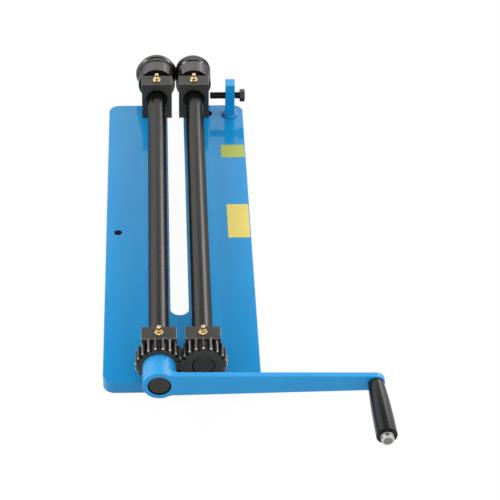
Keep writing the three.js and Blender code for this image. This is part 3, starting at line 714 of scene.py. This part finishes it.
def gear_mesh(tooth_at_top):
    """A keyed spur gear, chamfered round its teeth and at both ends of its bore."""
    width = GEAR_FAR - GEAR_NEAR
    start = -math.pi / 2 + (0 if tooth_at_top else math.pi / GEAR_TEETH)
    teeth = slab([gear_outline(start), keyed_bore()], width)
    c = GEAR_CHAMFER
    blank = turned(eased([
        (0, 0), (TIP_RADIUS - c, 0, 0.25), (TIP_RADIUS + 0.02, c, 0.3), (TIP_RADIUS + 1, c + 1),
        (TIP_RADIUS + 1, width - c - 1), (TIP_RADIUS + 0.02, width - c, 0.3),
        (TIP_RADIUS - c, width, 0.25), (0, width)], 3))
    mesh = combine(teeth, blank, "INTERSECT")
    depth = SHAFT_CHAMFER + 0.1
    mouth = BORE_RADIUS + depth + 1
    for outer, inner in ((-1, depth), (width + 1, width - depth)):
        cone = [(0, outer), (mouth, outer), (BORE_RADIUS - 0.01, inner), (0, inner)]
        mesh = combine(mesh, turned(cone))
    return mesh


# Bolts and screws

def hex_head_mesh(across, height):
    """A hexagon from Z = 0 up, with its outer corners turned off, on a thin washer face."""
    corner = across / math.sqrt(3)
    crown = turned(eased([
        (0, 0), (across / 2 - 0.4, 0), (across / 2 - 0.2, 0.35), (corner + 0.3, 0.35),
        (corner + 0.3, height - 1.15), (across / 2 - 0.3, height, 0.5), (0, height)], 4))
    return combine(hexagon(across, height), crown, "INTERSECT")


def thread_mesh(radius, pitch, length, sides=40):
    """A rod along Z cut with one helical groove, tapered at its start."""
    depth = 0.61 * pitch
    # How far the thread stands out at even places along one pitch
    shares = (0, 0, 0.35, 0.75, 1, 1, 1, 0.75, 0.35, 0.05)
    steps = len(shares)

    def build(bm):
        rows = [[bm.verts.new((0, 0, 0))]]
        for row in range(int(length / pitch * steps) + 1):
            height = row * pitch / steps
            around = []
            for side in range(sides):
                phase = (row / steps - side / sides) % 1 * steps
                low = shares[int(phase) % steps]
                high = shares[(int(phase) + 1) % steps]
                share = low + (high - low) * (phase % 1)
                reach = min(radius - depth * (1 - share), radius - depth + height * 0.8)
                turn = 2 * math.pi * side / sides
                around.append(bm.verts.new(
                    (reach * math.cos(turn) * MM, reach * math.sin(turn) * MM, height * MM)))
            rows.append(around)
        rows.append([bm.verts.new((0, 0, rows[-1][0].co.z))])
        skin(bm, rows)
    return mesh_of(build)


# The two shaft lines

def shaft_mesh(length):
    c = SHAFT_CHAMFER
    radius = SHAFT_RADIUS
    return turned(eased([
        (0, 0), (radius - 0.4, 0, 0.15), (radius, 0.4, 0.15), (radius, length - c, 0.25),
        (radius - c, length, 0.25), (0, length)], 3), 128)


def form(die_radius, half_width, height, steps=28):
    """The rolled form between a die's edges: a bead for a height over 0, or else a groove."""
    radius = (half_width ** 2 + height ** 2) / (2 * abs(height))
    spread = math.asin(half_width / radius)
    points = []
    for step in range(steps + 1):
        angle = spread * (2 * step / steps - 1)
        rise = math.copysign(radius * (math.cos(angle) - math.cos(spread)), height)
        points.append((die_radius + rise, BEAD_PLACE + radius * math.sin(angle)))
    return points


def die_mesh(radius, half_width, height):
    length = DIE_FAR - DIE_NEAR
    form_points = form(radius, half_width, height)
    land = (radius, form_points[0][1] - DIE_LAND)
    near = [*eased([(BORE_RADIUS, 0), (radius, 0, 0.7), land], 4), form_points[0]]
    far = eased([form_points[-1], (radius, length, 0.7), (BORE_RADIUS, length)], 4)
    return turned([*near[:-1], *form_points, *far[1:]], 160)


def end_bolt_mesh():
    head = hex_head_mesh(END_BOLT_ACROSS, END_BOLT_HEIGHT)
    return combine(head, rod(BOLT_RADIUS, -END_BOLT_LENGTH, 1), "UNION")


LINES = (
    ("drive", DRIVE_X, HUB_NEAR + HUB_RECESS, False,
     "bead_die", (BEAD_DIE_RADIUS, BEAD_HALF_WIDTH, BEAD_HEIGHT)),
    ("driven", DRIVEN_X, GEAR_NEAR - END_GAP, True,
     "groove_die", (GROOVE_DIE_RADIUS, GROOVE_HALF_WIDTH, -GROOVE_DEPTH)),
)
for line, x, shaft_start, tooth_at_top, die, die_sizes in LINES:
    # The gear's bore is painted dark as the shade in the gap round the shaft, and its tooth chamfers
    # get a painted glint.
    gear_parts = [(GEAR_FACE, is_end), (PAINTED_SHADE, within(BORE_RADIUS + SHAFT_CHAMFER + 0.2)),
                  (PAINTED_TOOTH_GLINT, is_tooth_chamfer)]
    # The bead die's land gets a painted highlight line.
    die_parts = [(PAINTED_EDGE_HIGHLIGHT, is_bead_land)] if die == "bead_die" else ()
    spacer = washer_mesh(BORE_RADIUS, SPACER_RADIUS, DIE_NEAR - SPACER_NEAR, 0.6)
    end_washer = washer_mesh(WASHER_BORE, END_WASHER_RADIUS, END_WASHER_THICKNESS)
    # The first word of each name, the node, mesh, start along the shaft, slot and other materials
    line_parts = (
        ("turned", f"{line}_shaft", shaft_mesh(DIE_FAR - END_GAP - shaft_start), shaft_start,
         "shaft_steel", [(DARK_END_AND_HOLE_SHADE, is_end)]),
        ("cut", f"{line}_gear", gear_mesh(tooth_at_top), GEAR_NEAR, "gear_steel", gear_parts),
        ("turned", f"{line}_spacer", spacer, SPACER_NEAR, "block_steel", ()),
        ("turned", die, die_mesh(*die_sizes), DIE_NEAR, "die_steel", die_parts),
        ("turned", f"{line}_end_washer", end_washer, DIE_FAR, "plain_steel", ()),
        ("chamfered", f"{line}_end_bolt", end_bolt_mesh(), DIE_FAR + END_WASHER_THICKNESS,
         "bolt_steel", ()),
    )
    for word, node, mesh, start, slot, others in line_parts:
        piece(f"{word}_{node}", mesh, along_shaft(x, start), f"{line}_line", slot, [node],
              others=others)


# Crank, made with its Z along the shaft, from the hub's outer end

def arm_outline():
    """The arm seen along the shaft: a round eye, a hollow blend into each flank, a round tip."""
    blend, tip = ARM_BLEND, ARM_TIP / 2
    slope = (ARM_ROOT - ARM_TIP) / 2 / CRANK_RADIUS
    x, y = 16, 0
    for _ in range(8):
        y = ARM_ROOT / 2 - slope * x + blend * math.hypot(1, slope)
        x = math.sqrt((HUB_RADIUS + blend) ** 2 - y ** 2)
    turn = math.degrees(math.atan2(y, x))
    lean = math.degrees(math.atan(slope))
    upper = arc(x, y, blend, turn + 180, 270 - lean, 10)
    lower = [(px, -py) for px, py in upper]
    return [*arc(0, 0, ARM_EYE, turn + 3, 357 - turn, 60), *lower,
            *arc(CRANK_RADIUS, 0, tip, -90, 90, 32), *reversed(upper)]


def crank_mesh():
    """The hub with the arm blended into it, bored for the shaft, the grub screw and the spindle."""
    length = HUB_FAR - HUB_NEAR
    fillet = HUB_FILLET
    barrel = turned(eased([(0, 0), (HUB_RADIUS, 0, HUB_EDGE), (HUB_RADIUS, length, 0.6),
                           (0, length)], 8))
    arm = slab([arm_outline()], ARM_THICKNESS, ARM_EDGE)
    reach = HUB_RADIUS + fillet
    start = ARM_THICKNESS - 2 * ARM_EDGE
    skirt = turned([
        (0, start), (reach, start),
        *arc(reach, ARM_THICKNESS + fillet, fillet, 270, 180, 12), (0, ARM_THICKNESS + fillet)])
    web = combine(skirt, slab([arm_outline()], ARM_THICKNESS + 2 * fillet, ARM_EDGE), "INTERSECT")
    mesh = combine(combine(barrel, arm, "UNION"), web, "UNION")
    c = HUB_CHAMFER
    bore = turned(eased([(0, -3), (BORE_RADIUS + c + 3, -3), (BORE_RADIUS, c, 0.2),
                         (BORE_RADIUS, length + 3), (0, length + 3)], 3))
    grub = moved(rod(4, 0, 24), placed(0, 0, GRUB_Y - HUB_NEAR, along=(0, 1, 0)))
    spindle = moved(rod(5.3, -12, 12), placed(
        CRANK_RADIUS, 0, 0, along=(-math.sin(GRIP_TILT), 0, math.cos(GRIP_TILT))))
    for tool in (bore, grub, spindle):
        mesh = combine(mesh, tool)
    return mesh


# The crank's bore and its chamfer are painted dark as the shade in the gap round the shaft.
piece("cast_crank", crank_mesh(), along_shaft(DRIVE_X, HUB_NEAR),
      "drive_line", "crank_paint", ["crank"],
      others=[(PAINTED_SHADE, within(BORE_RADIUS + HUB_CHAMFER + 0.1))])


def grub_screw_mesh():
    """A screw with a hexagonal socket, sunk a little below the hub's surface."""
    length = HUB_RADIUS - HUB_EDGE - GRUB_FLOOR
    body = turned(eased([(0, 0), (GRUB_RADIUS, 0, 0.4), (GRUB_RADIUS, length, 0.4),
                         (0, length)]), 48)
    return combine(body, moved(hexagon(4, 5), raised(length - 3.4)))


piece("socketed_crank_grub_screw", grub_screw_mesh(),
      placed(DRIVE_X, GRUB_Y, AXIS_Z - GRUB_FLOOR, along=(0, 0, -1)),
      "drive_line", "bolt_steel", ["crank_grub_screw"])


# Grip, made outwards from the arm along its leaning axis

outwards = placed(DRIVE_X + CRANK_RADIUS, HUB_NEAR, AXIS_Z,
                  along=(math.sin(GRIP_TILT), -math.cos(GRIP_TILT), 0))


def grip_mesh():
    """The grip swells quickly from its root and then slowly to its outer end."""
    end = GRIP_LENGTH
    shares = [0.02 + 0.96 * (step / 28) ** 1.4 for step in range(29)]
    swelling = [(GRIP_ROOT + (GRIP_END - GRIP_ROOT) * (1 - (1 - share) ** 2.5), end * share)
                for share in shares]
    near = eased([(GRIP_BORE, 0), (GRIP_ROOT, 0, 0.5), swelling[0]], 4)
    far = eased([swelling[-1], (GRIP_END, end, 0.5), (GRIP_BORE, end)], 4)
    return turned([*near[:-1], *swelling, *far[1:]], 128)


def spindle_mesh():
    """A shouldered spindle, with a grooved and chamfered head."""
    start, end, head = HEAD_START, HEAD_START + HEAD_LENGTH, HEAD_RADIUS
    return turned(eased([
        (0, -7.2), (4.4, -7.2), (5, -6.6), (5, start), (head, start, 0.2), (head, start + 1.2, 0.12),
        (head - 0.6, start + 1.5, 0.1), (head - 0.6, start + 2.1, 0.1), (head, start + 2.4, 0.12),
        (head, end - 1.2, 0.3), (head - 2.2, end, 0.25), (0, end)], 3))


piece("pressed_grip_washer",
      washer_mesh(GRIP_WASHER_BORE, GRIP_WASHER_RADIUS, GRIP_WASHER_THICKNESS),
      outwards @ raised(GRIP_WASHER_START), "drive_line", "bolt_steel", ["grip_washer"])
piece("moulded_grip", grip_mesh(), outwards @ raised(GRIP_START), "grip", "grip_black", ["grip"])
piece("turned_grip_spindle", spindle_mesh(), outwards, "drive_line", "plain_steel",
      ["grip_spindle"], others=[(DULL_END, is_end)])


# Adjuster

def post_mesh():
    half_width, half_depth = POST_WIDTH / 2, POST_DEPTH / 2
    outline = rounded_box(-half_width, half_width, -half_depth, half_depth, 0.7)
    tap = moved(rod(TAP_RADIUS, -20, 20, 64),
                placed(0, 0, AXIS_HEIGHT, along=(1, 0, 0), across=(0, 1, 0)))
    return combine(slab([outline], POST_HEIGHT, 0.6), tap)


def weld_mesh(sides=180, steps=20):
    """A round bead of weld laid about the post's foot, with the ripples of its run."""
    def build(bm):
        rows = []
        for side in range(sides):
            turn = 2 * math.pi * side / sides
            ripple = 0.09 * math.sin(26 * turn) + 0.06 * math.sin(5 * turn + 1)
            around = []
            for step in range(steps):
                bend = 2 * math.pi * step / steps
                radius = WELD_RING + (WELD_REACH + ripple) * math.cos(bend)
                height = max(-0.05, 0.55 + (3.5 + ripple) * math.sin(bend))
                around.append(bm.verts.new(
                    (radius * math.cos(turn) * MM, radius * math.sin(turn) * MM, height * MM)))
            rows.append(around)
        skin(bm, rows, closed=True)
    return mesh_of(build)


post_place = placed(POST_X, POST_Y, PLATE_THICKNESS)
post = combine(post_mesh(), weld_mesh(), "UNION")
# The weld bead gets a glossier paint, darkened as painted shade.
piece("welded_adjuster_post", post, post_place, "frame", "blue_paint", ["adjuster_post"],
      others=[(SHADED_WELD_PAINT, is_weld)])

screw_place = placed(SCREW_TIP, POST_Y, AXIS_Z, along=(1, 0, 0), across=(0, 1, 0))
screw_head = moved(hex_head_mesh(SCREW_HEAD_ACROSS, SCREW_HEAD_HEIGHT),
                   raised(SCREW_LENGTH) @ Matrix.Rotation(SCREW_TURN, 4, "Z"))
screw = combine(thread_mesh(SCREW_RADIUS, SCREW_PITCH, SCREW_LENGTH + 0.5), screw_head, "UNION")
piece("threaded_adjusting_screw", screw, screw_place, "adjusting_screw", "bolt_steel",
      ["adjusting_screw"])


# The keys stay as the CAD has them, since nothing shows of them but an end
for node in ("drive_gear_key", "driven_gear_key", "drive_die_key", "driven_die_key"):
    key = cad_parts[node]
    key.data.materials.clear()
    key.data.materials.append(FINISHES["plain_steel"])


# Floor, light and camera

def seen_directly(nodes, links):
    """1 for camera, glossy and transmission rays, 0 for all others."""
    paths = nodes.new("ShaderNodeLightPath")
    seen = paths.outputs["Is Camera Ray"]
    for output in ("Is Glossy Ray", "Is Transmission Ray"):
        either = nodes.new("ShaderNodeMath")
        either.operation = "MAXIMUM"
        links.new(seen, either.inputs[0])
        links.new(paths.outputs[output], either.inputs[1])
        seen = either.outputs[0]
    return seen


def ranged_socket(nodes, links, source, low, high):
    """Maps a value between 0 and 1 onto another pair."""
    level = nodes.new("ShaderNodeMapRange")
    level.inputs["To Min"].default_value = low
    level.inputs["To Max"].default_value = high
    links.new(source, level.inputs["Value"])
    return level.outputs["Result"]


def pale_floor():
    """A floor that is white where it is seen, and keeps a little of the object's shadow."""
    material = bpy.data.materials.new("pale_floor")
    material.use_nodes = True
    nodes, links = material.node_tree.nodes, material.node_tree.links
    shader = nodes["Principled BSDF"]
    shader.inputs["Roughness"].default_value = 0.9
    shader.inputs["Specular IOR Level"].default_value = 0
    seen = seen_directly(nodes, links)
    links.new(ranged_socket(nodes, links, seen, 0.45, 1), shader.inputs["Base Color"])
    glow = nodes.new("ShaderNodeEmission")
    mix = nodes.new("ShaderNodeMixShader")
    links.new(ranged_socket(nodes, links, seen, 0, 0.96), mix.inputs["Fac"])
    links.new(shader.outputs[0], mix.inputs[1])
    links.new(glow.outputs[0], mix.inputs[2])
    links.new(mix.outputs[0], nodes["Material Output"].inputs["Surface"])
    return material


def ramp(nodes, links, source, *stops):
    """A grey level that runs through stops of (place, level)."""
    node = nodes.new("ShaderNodeValToRGB")
    elements = node.color_ramp.elements
    elements[0].position, elements[1].position = stops[0][0], stops[-1][0]
    for spot, _ in stops[1:-1]:
        elements.new(spot)
    for element, (_, level) in zip(elements, stops):
        element.color = (level, level, level, 1)
    links.new(source, node.inputs["Fac"])
    return node.outputs["Color"]


def studio_world():
    """Walls that are bright ahead and paler in front and at the sides, under a dim ceiling."""
    world = bpy.data.worlds.new("studio")
    world.use_nodes = True
    nodes, links = world.node_tree.nodes, world.node_tree.links
    direction = nodes.new("ShaderNodeSeparateXYZ")
    links.new(nodes.new("ShaderNodeTexCoord").outputs["Generated"], direction.inputs[0])
    height = direction.outputs["Z"]
    ahead = ramp(nodes, links, height, (0, 0.9), (0.1, 0.9), (0.57, 1), (0.6, 0.82), (0.65, 0.38),
                 (0.675, 0.06), (1, 0.06))
    about = ramp(nodes, links, height, (0, 0.55), (0.6, 0.64), (0.75, 0.55), (0.85, 0.1), (1, 0.06))
    facing = ramp(nodes, links, direction.outputs["Y"], (0.35, 0), (0.6, 1))
    mix = nodes.new("ShaderNodeMix")
    mix.data_type = "RGBA"
    for name, source in (("Factor", facing), ("A", about), ("B", ahead)):
        links.new(source, mix.inputs[name])
    links.new(mix.outputs["Result"], nodes["Background"].inputs["Color"])
    nodes["Background"].inputs["Strength"].default_value = 1.75
    return world


def lamp(name, at, aim, width, height, watts):
    """A rectangular lamp that shines from one point towards another."""
    light = bpy.data.lights.new(name, "AREA")
    light.shape = "RECTANGLE"
    light.size, light.size_y = width, height
    light.energy = watts
    thing = shown(name, light)
    thing.location = at
    thing.rotation_euler = (Vector(aim) - Vector(at)).to_track_quat("-Z", "Y").to_euler()
    return thing


floor_mesh = mesh_of(lambda bm: bmesh.ops.create_grid(bm, x_segments=1, y_segments=1, size=6))
floor_mesh.materials.append(pale_floor())
floor = shown("floor", floor_mesh)

scene.world = studio_world()
overhead = lamp("overhead", (0, 0, 2), (0, 0.2, 0), 0.9, 0.8, 4)
overhead.visible_glossy = False
lamp("front", (0.12, -1.31, 1.85), (0, 0.2, 0), 1.3, 0.2, 8)
lamp("back_right", (1.21, 1.94, 1.02), (0, 0.2, 0.05), 0.75, 0.65, 7)
lamp("left", (-1.7, 0.5, 1.25), (0, 0.3, 0), 0.4, 0.4, 14)
lamp("right", (1.7, 0.5, 1.25), (0, 0.3, 0), 0.4, 0.4, 9)

camera_data = bpy.data.cameras.new("camera")
camera_data.sensor_width = 36
camera_data.sensor_fit = "HORIZONTAL"
camera_data.lens = 134.56
camera_data.clip_end = 30
camera = shown("camera", camera_data)
# The directions of the camera's own axes, fitted to the view together with its place
right = Vector((0.998794, -0.043593, 0.022578))
up = Vector((0.010003, 0.630973, 0.775740))
forward = Vector((0.048063, 0.774579, -0.630648))
turn = Matrix((right, up, -forward)).transposed().to_4x4()
camera.matrix_world = Matrix.Translation((-0.022772, -1.587953, 1.484748)) @ turn
scene.camera = camera
scene.view_settings.view_transform = "Standard"
